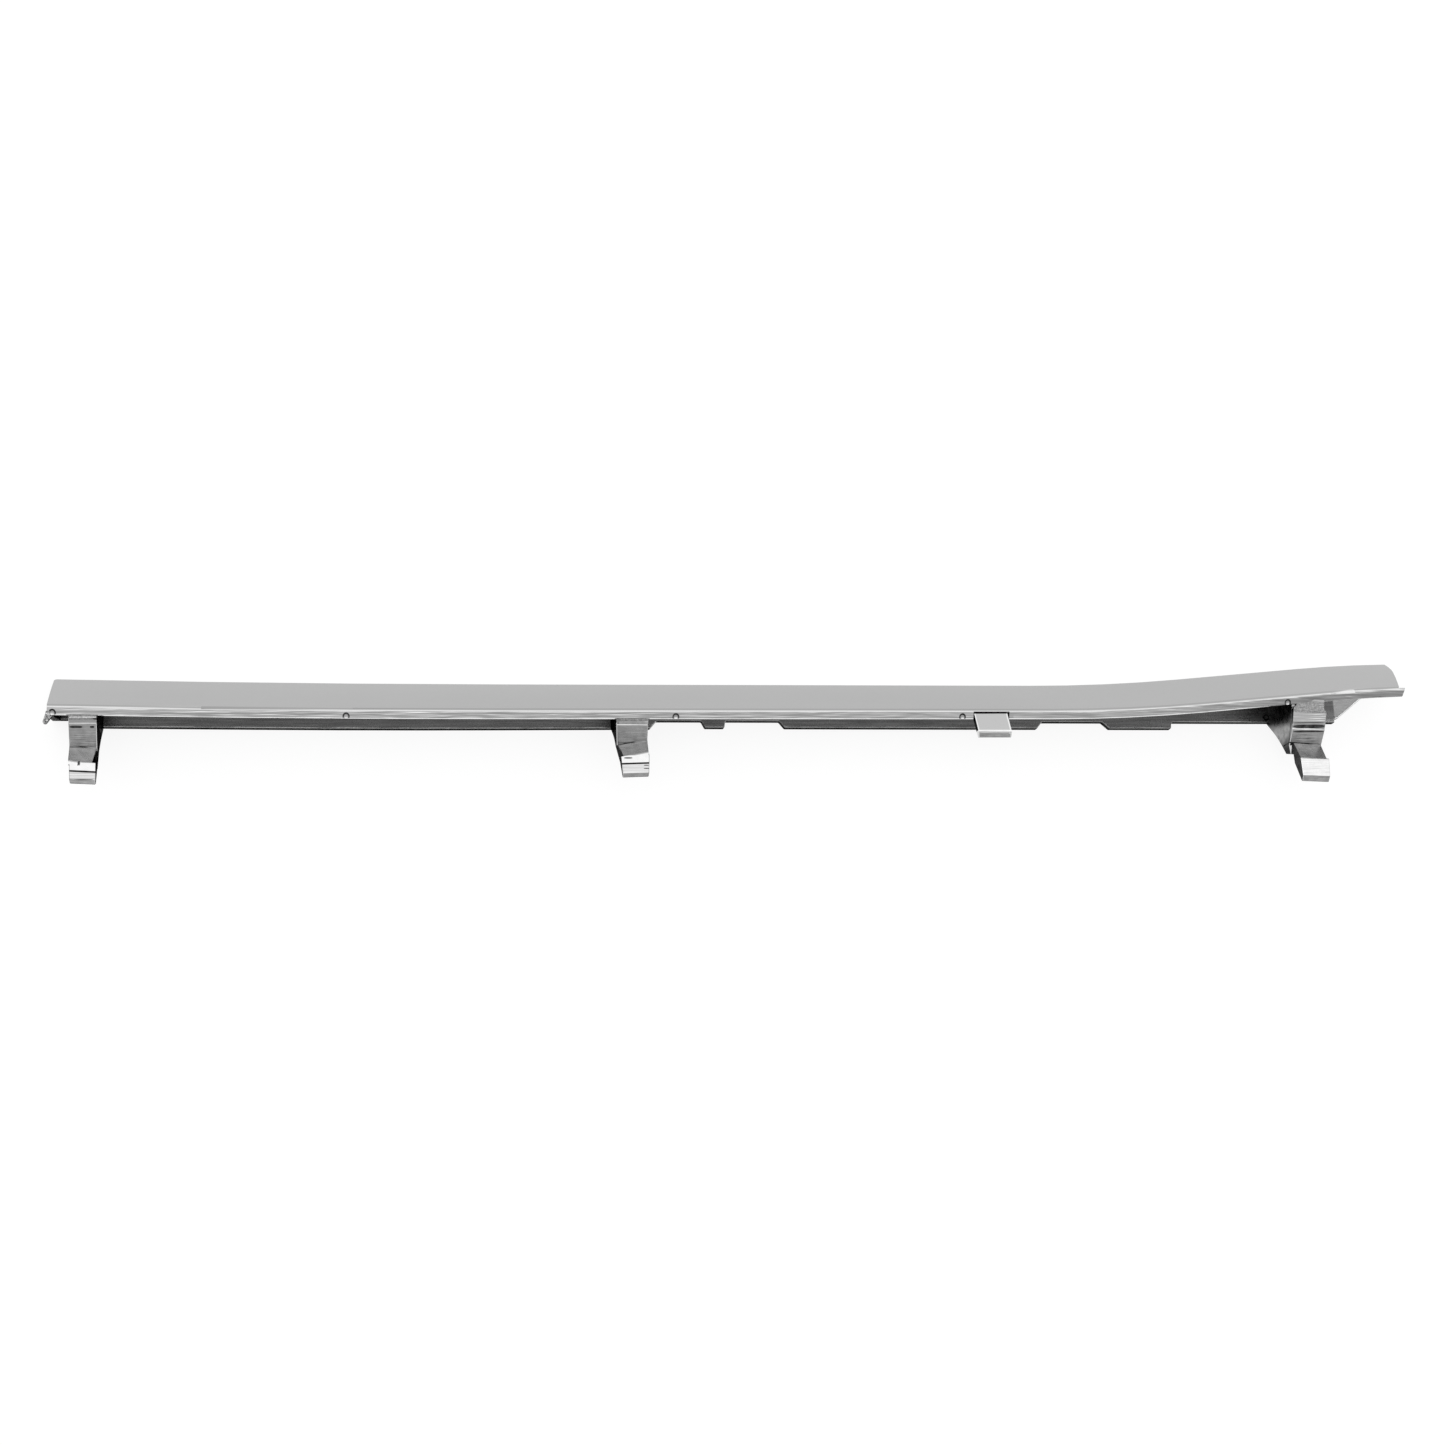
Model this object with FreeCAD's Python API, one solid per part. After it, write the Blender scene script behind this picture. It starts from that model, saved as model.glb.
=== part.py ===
import FreeCAD, Part
import math
import os

from FreeCAD import Vector

# Chrome-plated trim moulding that runs along the top of a grille opening.
# It is one injection-moulded piece: a sloping show wall with a rounded ridge and
# a narrow lip along its top, a flat mounting flange along its foot, a row of
# locating tabs on the flange's back edge, three snap hooks and one guide tongue.
# It lies on the flange: +X is along the moulding, +Z is up, the hooks point to -Y,
# and y = 0 is the ridge line of the long straight run. Millimetres and degrees.

# Ridge line in plan, from the left end to the right end: run length and bend
# radius, where a radius of zero is straight and a positive one bends to +Y.
LEFT_END_X = -254.0
BOW_RUN = 169.0
BOW_RADIUS = 9000.0
STRAIGHT_RUN = 216.0
SWEEP_RUN = 64.5
SWEEP_RADIUS = 720.0
RISE_RUN = 53.0
TAIL_RUN = 42.0
TAIL_RADIUS = -520.0

# Cross-section of the show wall and its lip
RIDGE_HEIGHT = 26.0
RIDGE_RADIUS = 1.6
SHOW_FACE_RADIUS = 250.0
SHOW_TILT = 53.3
SHOW_WALL = 2.6
LIP_REACH = 3.0
LIP_SLOPE = 25.0
LIP_THICK = 2.2
LIP_EDGE_RADIUS = 0.7

# Mounting flange along the foot
FLANGE_THICK = 2.4
FLANGE_EDGE_RADIUS = 0.5
FLANGE_BACK_LEFT = 3.0
FLANGE_BACK_RIGHT = 1.65
FLANGE_STEP_X = 259.5
FLANGE_STEP = 1.4
FLANGE_CORNER_X = 261.2
FLANGE_CORNER_Y = 3.7
FLANGE_CUT_ANGLE = 37.0
FLANGE_END_X = 285.0
FLANGE_FOOT_INSET = 2.4

# Locating tabs on the flange: left end, right end, depth, belly, left chamfer, right chamfer
TABS = [
    (-237.5, -22.8, 3.0, 0.6, 1.5, 2.6),
    (-4.9, 4.6, 2.7, 0.0, 1.4, 0.3),
    (26.3, 134.3, 2.7, 0.0, 2.2, 2.2),
    (159.5, 189.0, 2.7, 0.0, 3.0, 0.3),
]
TAB_CORNER_RADIUS = 0.7
TAB_BELLY_RADIUS = 9000.0
STEP_CORNER_RADIUS = 0.6
FLANGE_LEFT_RADIUS = 1.1

# Left end of the moulding: it leans from the foot to the ridge, and its foot corner is rounded
LEFT_FOOT_X = -253.0
LEFT_TOP_X = -251.5
LEFT_FOOT_ROUND = 1.3

# Right end of the show wall and of the lip, in plan
SHOW_END_X = 277.6
SHOW_END_Y = 10.0
SHOW_END_ANGLE = 61.5
SHOW_END_STRAIGHT = 13.0
SHOW_CORNER_X = 285.8
LIP_OVERHANG = 2.7
LIP_END_ANGLE = 72.0

# Left end wall, which leans back from the flange to the lip, and the small toe that points
# back from the lip's corner (plan corners)
END_WALL = 1.7
END_WALL_TOP = (-1.0, 21.5)
TOE_PLAN = [(-251.6, 1.0), (-252.2, -1.2), (-253.3, -4.0), (-252.0, -4.2), (-249.7, -1.4), (-249.5, 1.0)]
TOE_THICK = 1.8
TOE_SINK = 0.05

# Snap hooks: two cheeks carry a sloping web with a ledge across it, then a ramp and a solid head
WEB_THICK = 1.8
CHEEK_THICK = 1.8
CHEEK_FLARE_Z = 6.5
CHEEK_BOW_RADIUS = 60.0
LEDGE = 0.6
BEND_Z = 17.2
CREASE = 1.2
HEAD_TOP_Z = 23.8
HEAD_CORNER = 0.5
HEAD_UNDER_Z = 17.3
TIP_Z = 21.2
TIP_UNDER_Z = 20.5
TIP_UNDER_IN = 1.6
GROOVE_DROP = 0.25
GUSSET_CORNER_RADIUS = 0.8
GUSSET_FOOT_Y = 2.0
BRACE_OVERLAP = 0.3
BRACE_DROP = 1.2
HOOK_EDGE_RADIUS = 0.35

# For each hook: plan sides (left, right) of its parts, then (y, z) of its steps and y of what
# follows. sunk is how far the web starts below the lip, waist how much narrower it is there,
# flare how far each cheek's foot stands out, head_edge the radius along the head's sides, and a
# skew is a part's change of y per unit of x. A hook without a shelf_y has cheeks that run on
# under the ramp to the head.
HOOKS = [
    {
        "root": (-244.0, -233.8),
        "bend": (-244.2, -234.2),
        "ramp": (-244.2, -234.2),
        "neck": (-243.4, -235.1),
        "head": (-243.2, -233.7),
        "tip": (-242.9, -233.6),
        "waist": 0.0,
        "widen_y": (1.2, 1.2),
        "sunk": 0.9,
        "crest": (-2.4, 23.8),
        "ledge": (-3.9, 22.7),
        "bend_y": -11.6,
        "shoulder_y": -18.9,
        "groove_y": -22.5,
        "nose_y": -25.7,
        "tip_y": -26.9,
        "gusset": (-14.6, 12.9),
        "shelf_y": None,
        "web_skew": 0.0,
        "shoulder_skew": -0.16,
        "head_skew": -0.05,
        "flare": (0.3, 0.35),
        "head_edge": 0.35,
    },
    {
        "root": (-41.2, -28.6),
        "bend": (-40.1, -28.4),
        "ramp": (-40.1, -28.4),
        "neck": (-38.4, -29.0),
        "head": (-39.4, -28.5),
        "tip": (-38.8, -28.9),
        "waist": 0.0,
        "widen_y": (0.4, 0.4),
        "sunk": 0.9,
        "crest": (-3.2, 23.6),
        "ledge": (-4.4, 22.3),
        "bend_y": -10.2,
        "shoulder_y": -16.6,
        "groove_y": -20.1,
        "nose_y": -24.0,
        "tip_y": -25.1,
        "gusset": (-14.2, 14.5),
        "shelf_y": None,
        "web_skew": 0.0,
        "shoulder_skew": 0.2,
        "head_skew": 0.03,
        "flare": (1.4, 0.35),
        "head_edge": 0.35,
    },
    {
        "root": (232.7, 246.7),
        "bend": (232.3, 245.7),
        "ramp": (234.1, 245.7),
        "neck": (233.5, 244.4),
        "head": (233.4, 245.4),
        "tip": (234.2, 245.2),
        "waist": 1.1,
        "widen_y": (2.2, 0.4),
        "sunk": 0.1,
        "crest": (-3.6, 22.1),
        "ledge": (-6.0, 21.0),
        "bend_y": -11.0,
        "shoulder_y": -18.7,
        "groove_y": None,
        "nose_y": -25.9,
        "tip_y": -28.1,
        "gusset": (-14.6, 12.9),
        "shelf_y": -15.8,
        "web_skew": -0.05,
        "shoulder_skew": -0.07,
        "head_skew": -0.04,
        "flare": (2.1, 0.35),
        "head_edge": 0.2,
    },
]

# Nick across the top of the left hook's head: place, half of its run in plan, width, depth
NICK_PLACE = (-239.6, -19.5)
NICK_RUN = (0.4, 0.8)
NICK_WIDTH = 0.5
NICK_DEPTH = 0.5

# Guide tongue between the middle and right hooks
TONGUE_X = 108.6
TONGUE_WIDTH = 13.4
TONGUE_ROOT_SHIFT = -1.9
TONGUE_ROOT_Z = 24.5
TONGUE_TIP_Y = -10.0
TONGUE_TIP_Z = 24.7
TONGUE_THICK = 2.8
TONGUE_NOSE = 2.3
TONGUE_CORNER_RADIUS = 1.0
NOTCH_LEFT_GAP = 0.5
NOTCH_RIGHT_GAP = 0.6
NOTCH_Y = -0.1

# Round ejector marks dished into the lip, nearer to its edge than to the ridge
MARK_RADIUS = 1.25
MARK_DEPTH = 0.4
MARK_SHARE = 0.62
MARK_XS = [-249.6, -142.9, -18.1, 95.1, 229.9]

STEEP = 0.9
FAR = 60.0
CORNER_ROOM = 0.45


def rotated(angle):
    """Unit plan vector at an angle from +X."""
    return Vector(math.cos(angle), math.sin(angle), 0)


class Run:
    """One run of the ridge line: a straight or an arc, with the place where it starts."""

    def __init__(self, start, heading, length, radius):
        self.start = start
        self.heading = heading
        self.length = length
        self.radius = radius
        self.turn = length / radius if radius else 0.0
        self.normal = rotated(heading + math.pi / 2)

    def end(self):
        if not self.radius:
            return self.start + rotated(self.heading) * self.length
        centre = self.start + self.normal * self.radius
        return centre - rotated(self.heading + self.turn + math.pi / 2) * self.radius

    def sweep(self, outline):
        """Solid made by carrying a closed outline of (across, height) edges along the run."""
        wire = Part.Wire([edge(self) for edge in outline])
        face = Part.Face(wire)
        if not self.radius:
            return face.extrude(rotated(self.heading) * self.length)
        centre = self.start + self.normal * self.radius
        return face.revolve(centre, Vector(0, 0, 1), math.degrees(self.turn))

    def place(self, across, height):
        return self.start + self.normal * across + Vector(0, 0, height)


def line(a, b):
    return lambda run: Part.LineSegment(run.place(*a), run.place(*b)).toShape()


def arc(a, middle, b):
    return lambda run: Part.Arc(run.place(*a), run.place(*middle), run.place(*b)).toShape()


def ridge_runs():
    """Runs of the ridge line. The straight run lies on y = 0."""
    turn = -BOW_RUN / BOW_RADIUS
    rise = BOW_RADIUS * (1 - math.cos(turn))
    start = Vector(LEFT_END_X, rise, 0)
    runs = []
    heading = turn
    sizes = [
        (BOW_RUN, BOW_RADIUS),
        (STRAIGHT_RUN, 0),
        (SWEEP_RUN, SWEEP_RADIUS),
        (RISE_RUN, 0),
        (TAIL_RUN, TAIL_RADIUS),
    ]
    for length, radius in sizes:
        run = Run(start, heading, length, radius)
        runs.append(run)
        start = run.end()
        heading += run.turn
    return runs


def ridge_y(runs, x):
    """Y of the ridge line at an x position."""
    for run in runs:
        if run.start.x <= x <= run.end().x:
            break
    if not run.radius:
        return run.start.y + (x - run.start.x) * math.tan(run.heading)
    centre = run.start + run.normal * run.radius
    side = -1 if run.radius > 0 else 1
    return centre.y + side * math.sqrt(run.radius ** 2 - (x - centre.x) ** 2)


def polar(centre, radius, tilt):
    """Point of the section at a tilt from straight up, leaning towards +across."""
    return (centre[0] + radius * math.sin(tilt), centre[1] + radius * math.cos(tilt))


def section():
    """Key points of the show wall's section, as (across, height)."""
    tilt = math.radians(SHOW_TILT)
    slope = math.radians(-LIP_SLOPE)
    crown = (0.0, RIDGE_HEIGHT - RIDGE_RADIUS)
    show_centre = polar(crown, RIDGE_RADIUS - SHOW_FACE_RADIUS, tilt)
    inner_radius = SHOW_FACE_RADIUS - SHOW_WALL
    foot_tilt = math.acos(-show_centre[1] / SHOW_FACE_RADIUS)
    inner_foot_tilt = math.acos(-show_centre[1] / inner_radius)
    lip_start = polar(crown, RIDGE_RADIUS, slope)
    along = (-math.cos(slope), math.sin(slope))
    lip_length = (LIP_REACH + lip_start[0]) / math.cos(slope)
    lip_end = (lip_start[0] + along[0] * lip_length, lip_start[1] + along[1] * lip_length)
    under_end = polar(lip_end, -LIP_THICK, slope)
    edge_centre = polar(lip_end, -LIP_EDGE_RADIUS, slope)
    edge_centre = (edge_centre[0] - along[0] * LIP_EDGE_RADIUS, edge_centre[1] - along[1] * LIP_EDGE_RADIUS)
    # The lip's underside meets the inner face where its line crosses that circle
    dx = under_end[0] - show_centre[0]
    dz = under_end[1] - show_centre[1]
    half = -(dx * along[0] + dz * along[1])
    inside = half * half - (dx * dx + dz * dz - inner_radius ** 2)
    reach = -half + math.sqrt(inside)
    inner_top = (under_end[0] - along[0] * reach, under_end[1] - along[1] * reach)
    inner_top_tilt = math.atan2(inner_top[0] - show_centre[0], inner_top[1] - show_centre[1])
    return {
        "crown": crown,
        "centre": show_centre,
        "slope": slope,
        "foot": polar(show_centre, SHOW_FACE_RADIUS, foot_tilt),
        "show_middle": polar(show_centre, SHOW_FACE_RADIUS, (foot_tilt + tilt) / 2),
        "show_top": polar(show_centre, SHOW_FACE_RADIUS, tilt),
        "ridge_middle": polar(crown, RIDGE_RADIUS, (tilt + slope) / 2),
        "lip_start": lip_start,
        "edge_start": polar(edge_centre, LIP_EDGE_RADIUS, slope),
        "edge_middle": polar(edge_centre, LIP_EDGE_RADIUS, slope - math.pi / 4),
        "edge_end": polar(edge_centre, LIP_EDGE_RADIUS, slope - math.pi / 2),
        "lip_end": lip_end,
        "under_end": under_end,
        "inner_top": inner_top,
        "inner_middle": polar(show_centre, inner_radius, (inner_top_tilt + inner_foot_tilt) / 2),
        "inner_foot": polar(show_centre, inner_radius, inner_foot_tilt),
    }


def swept(runs, outline):
    solids = [run.sweep(outline) for run in runs]
    return solids[0].fuse(solids[1:])


def show_wall(runs, points):
    outline = [
        arc(points["foot"], points["show_middle"], points["show_top"]),
        arc(points["show_top"], points["ridge_middle"], points["lip_start"]),
        line(points["lip_start"], points["edge_start"]),
        arc(points["edge_start"], points["edge_middle"], points["edge_end"]),
        line(points["edge_end"], points["under_end"]),
        line(points["under_end"], points["inner_top"]),
        arc(points["inner_top"], points["inner_middle"], points["inner_foot"]),
        line(points["inner_foot"], points["foot"]),
    ]
    return swept(runs, outline)


def outline_face(corners, place):
    """Face on closed (a, b, radius) corners. A corner with a radius is rounded by a tangent arc."""
    runs = []
    count = len(corners)
    for index in range(count):
        here = Vector(corners[index][0], corners[index][1], 0)
        radius = corners[index][2]
        if not radius:
            runs.append((here,))
            continue
        back = Vector(corners[index - 1][0], corners[index - 1][1], 0) - here
        ahead = Vector(corners[(index + 1) % count][0], corners[(index + 1) % count][1], 0) - here
        half = back.getAngle(ahead) / 2
        reach = min(radius / math.tan(half), CORNER_ROOM * back.Length, CORNER_ROOM * ahead.Length)
        radius = reach * math.tan(half)
        back.normalize()
        ahead.normalize()
        inward = (back + ahead).normalize()
        middle = here + inward * (radius / math.sin(half) - radius)
        runs.append((here + back * reach, middle, here + ahead * reach))
    edges = []
    for index in range(count):
        points = [place(p.x, p.y) for p in runs[index]]
        following = place(runs[(index + 1) % count][0].x, runs[(index + 1) % count][0].y)
        if len(points) > 1:
            edges.append(Part.Arc(*points).toShape())
        edges.append(Part.LineSegment(points[-1], following).toShape())
    return Part.Face(Part.Wire(edges))


def prism(corners, low, high):
    """Upright prism on a plan outline of (x, y, radius) corners."""
    return outline_face(corners, lambda x, y: Vector(x, y, low)).extrude(Vector(0, 0, high - low))


def side_prism(corners, left, right, skew, middle):
    """Prism on a side outline of (y, z, radius) corners, whose y changes by skew per unit of x."""
    shift = (left - middle) * skew
    face = outline_face(corners, lambda y, z: Vector(left, y + shift, z))
    return face.extrude(Vector(right - left, (right - left) * skew, 0))


def back_edge(x):
    """Y of the flange's back edge between the tabs."""
    share = (x - LEFT_END_X) / (FLANGE_STEP_X - LEFT_END_X)
    return FLANGE_BACK_LEFT + share * (FLANGE_BACK_RIGHT - FLANGE_BACK_LEFT)


def flange_corners():
    """Plan outline of the flange: back edge with its tabs, step, diagonal cut, far side."""
    corners = [(LEFT_FOOT_X, back_edge(LEFT_FOOT_X), FLANGE_LEFT_RADIUS)]
    for left, right, depth, belly, left_chamfer, right_chamfer in TABS:
        corners.append((left, back_edge(left), TAB_CORNER_RADIUS))
        corners.append((left + left_chamfer, back_edge(left) - depth, TAB_CORNER_RADIUS))
        if belly:
            middle = (left + right) / 2
            corners.append((middle, back_edge(middle) - depth - belly, TAB_BELLY_RADIUS))
        corners.append((right - right_chamfer, back_edge(right) - depth, TAB_CORNER_RADIUS))
        corners.append((right, back_edge(right), TAB_CORNER_RADIUS))
    corners.append((FLANGE_STEP_X, back_edge(FLANGE_STEP_X), STEP_CORNER_RADIUS))
    corners.append((FLANGE_STEP_X, back_edge(FLANGE_STEP_X) + FLANGE_STEP, STEP_CORNER_RADIUS))
    corners.append((FLANGE_CORNER_X, FLANGE_CORNER_Y, TAB_CORNER_RADIUS))
    climb = math.tan(math.radians(FLANGE_CUT_ANGLE))
    corners.append((FLANGE_END_X, FLANGE_CORNER_Y + (FLANGE_END_X - FLANGE_CORNER_X) * climb, 0))
    corners.append((FLANGE_END_X, FAR, 0))
    corners.append((LEFT_FOOT_X, FAR, 0))
    return corners


def flange(runs, points):
    """Flat flange with its tabs, its upper back edge rounded over."""
    near = -FAR / 2
    far = points["foot"][0] - FLANGE_FOOT_INSET
    outline = [
        line((near, 0), (far, 0)),
        line((far, 0), (far, FLANGE_THICK)),
        line((far, FLANGE_THICK), (near, FLANGE_THICK)),
        line((near, FLANGE_THICK), (near, 0)),
    ]
    slab = swept(runs, outline).common(prism(flange_corners(), 0, FLANGE_THICK)).removeSplitter()
    front = max(FLANGE_BACK_LEFT, FLANGE_CORNER_Y)
    back = [
        edge
        for edge in slab.Edges
        if edge.BoundBox.ZMin > FLANGE_THICK / 2 and edge.CenterOfMass.y < front
    ]
    return slab.makeFillet(FLANGE_EDGE_RADIUS, back)


def right_end_cutter():
    """Prism that trims the show wall on a slant with a rounded corner, and the lip further out."""
    angle = math.radians(SHOW_END_ANGLE)
    knee = (
        SHOW_END_X + SHOW_END_STRAIGHT * math.cos(angle),
        SHOW_END_Y + SHOW_END_STRAIGHT * math.sin(angle),
    )
    lip_x = SHOW_END_X + LIP_OVERHANG
    drop = FAR / 4
    lip_angle = math.radians(LIP_END_ANGLE)
    low = Vector(lip_x - drop * math.cos(lip_angle), SHOW_END_Y - drop * math.sin(lip_angle), -1)
    start = Vector(knee[0], knee[1], -1)
    end = Vector(SHOW_CORNER_X, SHOW_END_Y + 2 * SHOW_END_STRAIGHT * math.sin(angle), -1)
    corner = Vector(SHOW_CORNER_X, knee[1] + (SHOW_CORNER_X - knee[0]) * math.tan(angle), -1)
    bend = Part.BezierCurve()
    bend.setPoles([start, corner, end])
    path = [
        end,
        Vector(SHOW_CORNER_X, FAR, -1),
        Vector(SHOW_CORNER_X + FAR, FAR, -1),
        Vector(SHOW_CORNER_X + FAR, low.y, -1),
        low,
        Vector(lip_x, SHOW_END_Y, -1),
        Vector(SHOW_END_X, SHOW_END_Y, -1),
        start,
    ]
    edges = [Part.LineSegment(a, b).toShape() for a, b in zip(path, path[1:])]
    face = Part.Face(Part.Wire([bend.toShape()] + edges))
    return face.extrude(Vector(0, 0, FAR))


def left_end_cutters(runs, points):
    """A leaning prism that trims the left end, and an upright one that rounds its foot corner."""
    lean = (LEFT_TOP_X - LEFT_FOOT_X) / RIDGE_HEIGHT
    out = LEFT_END_X - FAR
    end = [
        (LEFT_FOOT_X - lean, -1, 0),
        (LEFT_FOOT_X + lean * FAR, FAR, 0),
        (out, FAR, 0),
        (out, -1, 0),
    ]
    foot_y = ridge_y(runs, LEFT_END_X) + points["foot"][0]
    corner = [
        (LEFT_FOOT_X + 2 * LEFT_FOOT_ROUND, FAR, 0),
        (LEFT_FOOT_X + 2 * LEFT_FOOT_ROUND, foot_y, 0),
        (LEFT_FOOT_X, foot_y, 2 * LEFT_FOOT_ROUND),
        (LEFT_FOOT_X, foot_y - 4 * LEFT_FOOT_ROUND, 0),
        (out, foot_y - 4 * LEFT_FOOT_ROUND, 0),
        (out, FAR, 0),
    ]
    return [prism_along_y(end, -FAR, FAR), prism(corner, -1, FAR)]


def hook(runs, points, sizes):
    """One snap hook, with its cheeks carried through the channel to the show wall."""
    root_left, root_right = sizes["root"]
    middle = (root_left + root_right) / 2
    base = ridge_y(runs, middle)
    wall_y = base + points["inner_foot"][0] + SHOW_WALL / 2
    under_lip_y = base + points["inner_top"][0] + SHOW_WALL / 2
    lip_y = base + points["lip_end"][0]
    lip_z = points["lip_end"][1]
    inset = LIP_REACH / 2
    start = (lip_y + inset, lip_z + inset * math.tan(math.radians(LIP_SLOPE)) - sizes["sunk"])
    crest_y, crest_z = sizes["crest"]
    ledge_y, ledge_z = sizes["ledge"]
    bend_y = sizes["bend_y"]
    shoulder_y = sizes["shoulder_y"]
    tip_y = sizes["tip_y"]
    under_y = shoulder_y - WEB_THICK / 3
    gusset_y, gusset_z = sizes["gusset"]
    fall = (ledge_z - LEDGE / 6 - BEND_Z) / (ledge_y - LEDGE / 2 - bend_y)
    rise = (HEAD_TOP_Z - HEAD_CORNER / 2 - BEND_Z) / (bend_y - shoulder_y)

    web = [
        (start[0], start[1], 0),
        (crest_y, crest_z, LEDGE),
        (ledge_y + LEDGE / 2, ledge_z, LEDGE / 2),
        (ledge_y - LEDGE / 2, ledge_z - LEDGE / 6, LEDGE / 2),
        (bend_y - CREASE, BEND_Z - CREASE * fall, 0),
        (bend_y - CREASE, BEND_Z - WEB_THICK, 0),
        (ledge_y + WEB_THICK / 2, ledge_z - WEB_THICK - LEDGE, 0),
        (start[0], start[1] - WEB_THICK, 0),
    ]
    ramp = [
        (bend_y + CREASE, BEND_Z - CREASE * rise, 0),
        (shoulder_y, HEAD_TOP_Z - HEAD_CORNER / 2, 0),
        (shoulder_y - HEAD_CORNER, HEAD_TOP_Z, 0),
        (shoulder_y - 5 * HEAD_CORNER, HEAD_TOP_Z, 0),
        (under_y, HEAD_UNDER_Z, 0),
        (bend_y + CREASE, BEND_Z - WEB_THICK, 0),
    ]
    head = [
        (shoulder_y + HEAD_CORNER, HEAD_TOP_Z - 2 * HEAD_CORNER, 0),
        (shoulder_y - HEAD_CORNER / 4, HEAD_TOP_Z, HEAD_CORNER),
    ]
    if sizes["groove_y"]:
        groove_y = sizes["groove_y"]
        head.append((groove_y + GROOVE_DROP, HEAD_TOP_Z, 0))
        head.append((groove_y, HEAD_TOP_Z - GROOVE_DROP, 0))
        head.append((groove_y - GROOVE_DROP, HEAD_TOP_Z - GROOVE_DROP / 2, 0))
    head += [
        (sizes["nose_y"], HEAD_TOP_Z - 2 * GROOVE_DROP, HEAD_CORNER),
        (tip_y, TIP_Z, HEAD_CORNER),
        (tip_y + TIP_UNDER_IN, TIP_UNDER_Z, HEAD_CORNER),
        (under_y, HEAD_UNDER_Z, 0),
    ]
    cheek = [
        (wall_y, 0, 0),
        (under_lip_y, lip_z - WEB_THICK, 0),
        (start[0], start[1] - WEB_THICK / 2, 0),
        (ledge_y + WEB_THICK / 2, ledge_z - WEB_THICK, 0),
        (bend_y, BEND_Z - WEB_THICK / 2, 0),
    ]
    if sizes["shelf_y"]:
        cheek.append((sizes["shelf_y"], BEND_Z, 0))
        cheek.append((gusset_y, gusset_z, GUSSET_CORNER_RADIUS))
    else:
        cheek.append((bend_y, gusset_height(sizes, bend_y), 0))
    cheek.append((GUSSET_FOOT_Y, 0, 0))

    left = root_left - FAR
    right = root_right + FAR
    body = side_prism(web, left, right, sizes["web_skew"], middle)
    body = rounded_sides(body.common(prism(web_plan(sizes, start[0]), -1, FAR)), HOOK_EDGE_RADIUS)
    slope = side_prism(ramp, left, right, sizes["shoulder_skew"], middle)
    slope = slope.common(prism(ramp_plan(sizes), -1, FAR))
    top = side_prism(head, left, right, sizes["head_skew"], middle)
    top = rounded_sides(top.common(prism(head_plan(sizes), -1, FAR)), sizes["head_edge"])
    body = body.fuse([slope, top]).removeSplitter()
    sides = side_prism(cheek, left, right, sizes["web_skew"], middle)
    pair = [prism_along_y(corners, -FAR, FAR).common(sides) for corners in cheek_corners(sizes)]
    if not sizes["shelf_y"]:
        pair += [brace(sizes, side, middle) for side in (0, 1)]
    return [body] + pair


def gusset_height(sizes, y):
    """Height of a cheek's lower edge, which rises from the flange through the gusset point."""
    gusset_y, gusset_z = sizes["gusset"]
    return gusset_z * (GUSSET_FOOT_Y - y) / (GUSSET_FOOT_Y - gusset_y)


def brace(sizes, side, middle):
    """Cheek's run from the bend to the head, its outer side leaning in to the neck."""
    inward = CHEEK_THICK if side == 0 else -CHEEK_THICK
    bend_x = sizes["bend"][side]
    neck_x = sizes["neck"][side]
    head_x = sizes["head"][side]
    start_y = sizes["bend_y"] + BRACE_OVERLAP
    end_y = sizes["shoulder_y"] + sizes["shoulder_skew"] * (neck_x - middle) - HEAD_CORNER
    start_z = gusset_height(sizes, start_y)
    end_z = gusset_height(sizes, end_y)
    high_z = HEAD_TOP_Z - BRACE_DROP
    start = [
        (bend_x, BEND_Z - WEB_THICK / 2),
        (bend_x, start_z),
        (bend_x + inward, start_z),
        (bend_x + inward, BEND_Z - WEB_THICK / 2),
    ]
    end = [(neck_x, high_z), (head_x, end_z), (head_x + inward, end_z), (neck_x + inward, high_z)]
    wires = []
    for corners, y in ((start, start_y), (end, end_y)):
        points = [Vector(x, y, z) for x, z in corners]
        wires.append(Part.makePolygon(points + points[:1]))
    return Part.makeLoft(wires, True, True)


def rounded_sides(body, radius):
    """Body with the edges between its upper faces and its sides rounded."""
    sides = [face for face in body.Faces if abs(face.normalAt(0, 0).x) > STEEP]
    tops = [face for face in body.Faces if face.normalAt(0, 0).z > 1 - STEEP]
    upper = [edge for face in tops for edge in face.Edges]
    edges = []
    for face in sides:
        edges += [edge for edge in face.Edges if any(edge.isSame(other) for other in upper)]
    return body.makeFillet(radius, edges)


def web_plan(sizes, start_y):
    """Plan outline of a hook's web, from under the lip to the bend."""
    root_left, root_right = sizes["root"]
    bend_left, bend_right = sizes["bend"]
    waist = sizes["waist"]
    left_y, right_y = sizes["widen_y"]
    return [
        (root_left + waist, start_y + FAR, 0),
        (root_left + waist, left_y + WEB_THICK / 2, 0),
        (root_left, left_y, 0),
        (bend_left, sizes["bend_y"] - 2 * CREASE, 0),
        (bend_right, sizes["bend_y"] - 2 * CREASE, 0),
        (root_right, right_y, 0),
        (root_right - waist, right_y + WEB_THICK / 2, 0),
        (root_right - waist, start_y + FAR, 0),
    ]


def ramp_plan(sizes):
    """Plan outline of a hook's ramp, from the bend to the head."""
    left, right = sizes["ramp"]
    neck_left, neck_right = sizes["neck"]
    end_y = sizes["shoulder_y"] - 2 * HEAD_CORNER
    return [
        (left, sizes["bend_y"] + 2 * CREASE, 0),
        (neck_left, end_y, 0),
        (neck_right, end_y, 0),
        (right, sizes["bend_y"] + 2 * CREASE, 0),
    ]


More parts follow.
